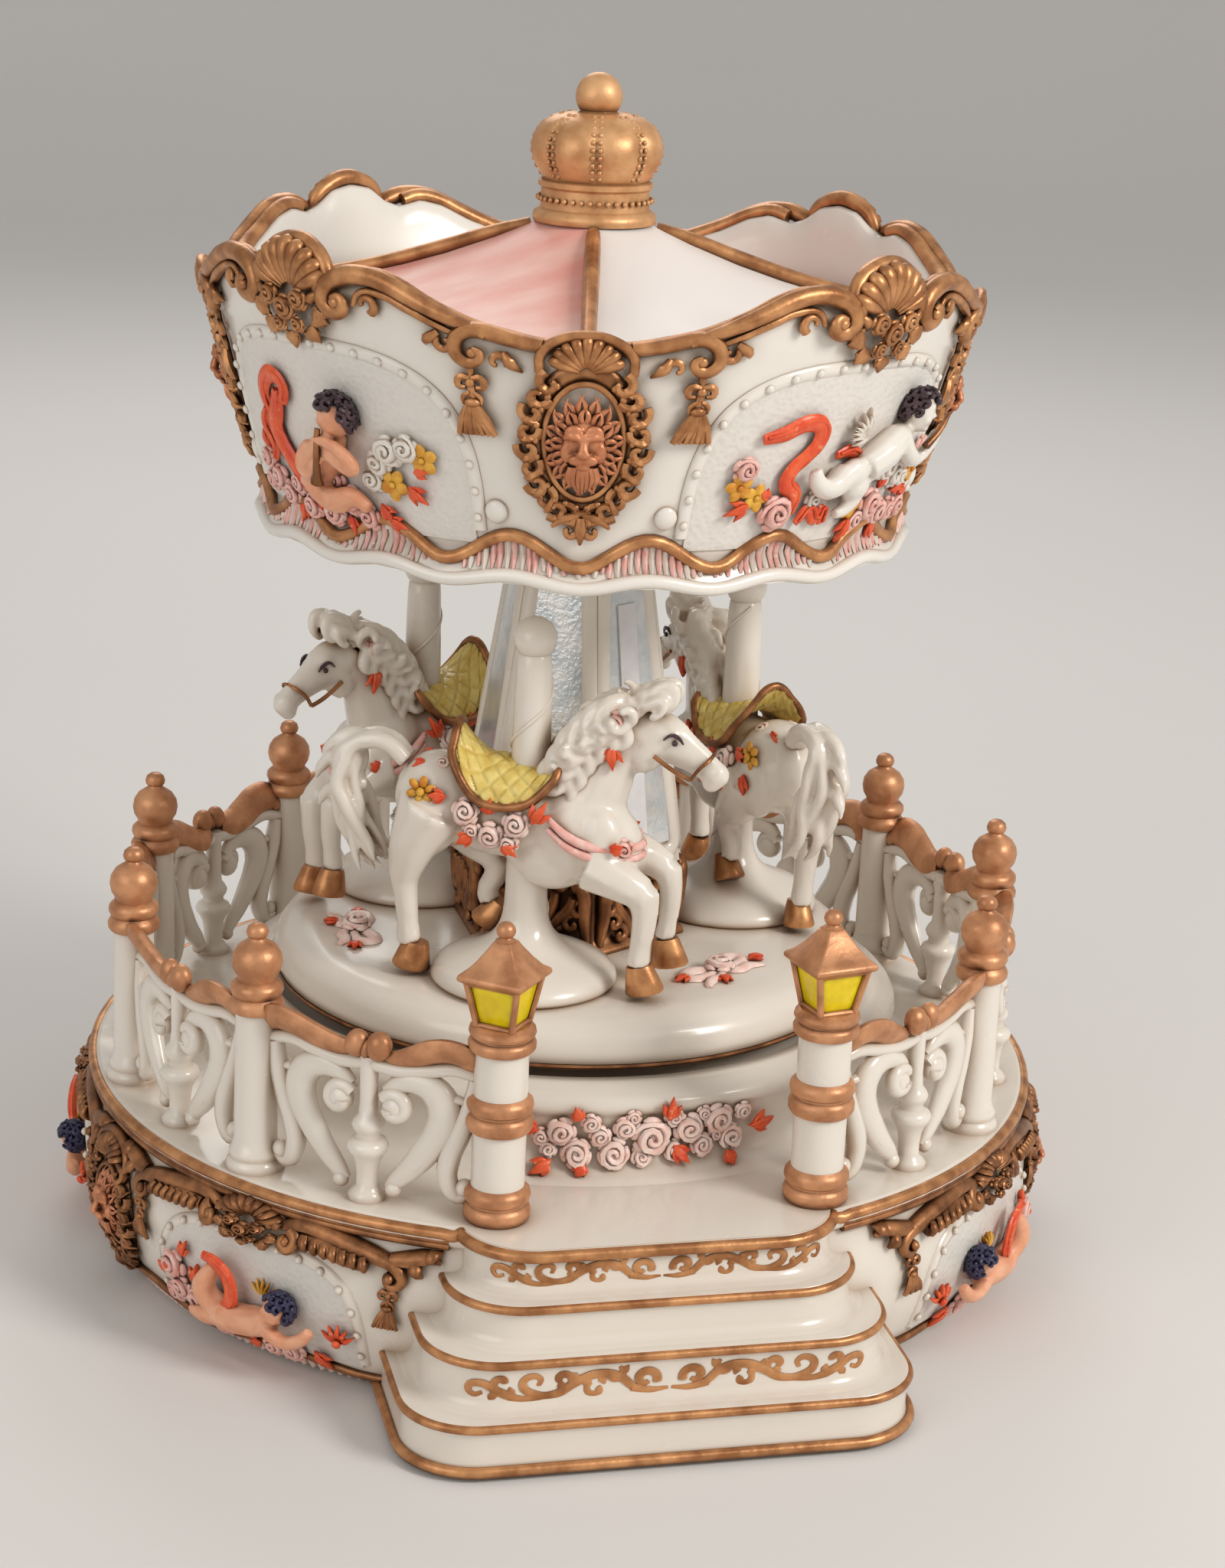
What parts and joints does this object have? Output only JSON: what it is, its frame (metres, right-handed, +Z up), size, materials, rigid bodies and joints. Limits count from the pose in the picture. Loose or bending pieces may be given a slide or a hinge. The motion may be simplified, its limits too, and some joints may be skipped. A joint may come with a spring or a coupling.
{
  "type": "wind-up music box",
  "caption": "Wind-up carousel music box: prancing horses on a turntable under a gilt canopy, on a round fenced base with stairs and a winding key beneath.",
  "frame": {"origin": "middle of the footprint's bounding box, at the level the music box stands on; the carousel's axis is 5.05 mm behind it (+Y)", "axes": "+Z up along the carousel's axis, -Y towards the front stairs, +X to the right of a person facing the stairs"},
  "size_m": [0.1652, 0.1791, 0.197],
  "materials": {
    "cream_resin": "pearly cream cast resin, satin, with hand-painted detail",
    "gold_paint": "antique copper-gold paint over cast resin, bright on edges, dark in recesses",
    "yellow_enamel": "glossy yellow paint",
    "mirror_foil": "mirror card under a protective film",
    "clear_film": "thin film tab, unprinted",
    "black_plastic": "moulded, fine texture",
    "felt": "green felt",
    "nylon": "natural nylon",
    "zinc_alloy": "die-cast zinc alloy, matt grey",
    "brass": "machined brass",
    "steel": "bright steel"
  },
  "bodies": {
    "base": {"base_casting": "cream_resin", "bedplate": "zinc_alloy", "bottom_plate": "black_plastic", "bottom_screws": "steel", "collar_ring": "cream_resin", "comb": "steel", "comb_screws": "steel", "cylinder_bearings": "brass", "deck_plate": "cream_resin", "felt_pads": "felt", "fence_finials": "gold_paint", "fence_panel_1": "cream_resin", "fence_panel_10": "cream_resin", "fence_panel_2": "cream_resin", "fence_panel_3": "cream_resin", "fence_panel_4": "cream_resin", "fence_panel_5": "cream_resin", "fence_panel_6": "cream_resin", "fence_panel_7": "cream_resin", "fence_panel_8": "cream_resin", "fence_panel_9": "cream_resin", "fence_posts": "cream_resin", "governor_frame": "brass", "lantern_panes_left": "yellow_enamel", "lantern_panes_right": "yellow_enamel", "lantern_post_left": "cream_resin", "lantern_post_right": "cream_resin", "lantern_roof_left": "gold_paint", "lantern_roof_right": "gold_paint", "movement_screws": "steel", "shaft_bush": "brass", "skirt_medallions": "gold_paint", "thrust_washer": "nylon"},
    "carousel": {"turntable_disc": "cream_resin", "column": "cream_resin", "column_base": "gold_paint", "mirror_panels": "mirror_foil", "film_tab": "clear_film", "horse_1": "cream_resin", "horse_2": "cream_resin", "horse_3": "cream_resin", "horse_pole_1": "cream_resin", "horse_pole_2": "cream_resin", "horse_pole_3": "cream_resin", "canopy_wall": "cream_resin", "canopy_ceiling": "cream_resin", "canopy_roof": "cream_resin", "roof_ridges": "gold_paint", "canopy_medallions": "gold_paint", "crown": "gold_paint", "spring_barrel": "brass", "barrel_lid": "brass", "mainspring": "steel", "drive_shaft": "steel"},
    "cylinder": {"pin_cylinder": "brass", "cylinder_pinion": "brass", "cylinder_wheel": "brass"},
    "governor": {"governor_wheel": "brass"},
    "fan": {"governor_fan": "steel"},
    "key": {"winding_key": "steel"}
  },
  "joints": [
    {"name": "carousel_turn", "type": "hinge", "parent": "base", "child": "carousel", "pos_m": [0, 0.00505, 0.045], "axis": [0, 0, 1], "continuous": true},
    {"name": "cylinder_turn", "type": "hinge", "parent": "base", "child": "cylinder", "pos_m": [0.0272, 0.00505, 0.027], "axis": [1, 0, 0], "continuous": true},
    {"name": "governor_turn", "type": "hinge", "parent": "base", "child": "governor", "pos_m": [0.0382, -0.00495, 0.027], "axis": [1, 0, 0], "continuous": true},
    {"name": "fan_turn", "type": "hinge", "parent": "base", "child": "fan", "pos_m": [0.0382, -0.01055, 0.028], "axis": [0, 0, 1], "continuous": true},
    {"name": "key_turn", "type": "hinge", "parent": "base", "child": "key", "pos_m": [0, 0.00505, 0.009], "axis": [0, 0, 1], "range_deg": [0, 2070]}
  ],
  "couplings": [
    {"joint": "cylinder_turn", "follows": "carousel_turn", "ratio": 3},
    {"joint": "governor_turn", "follows": "carousel_turn", "ratio": -12},
    {"joint": "fan_turn", "follows": "carousel_turn", "ratio": -192}
  ]
}
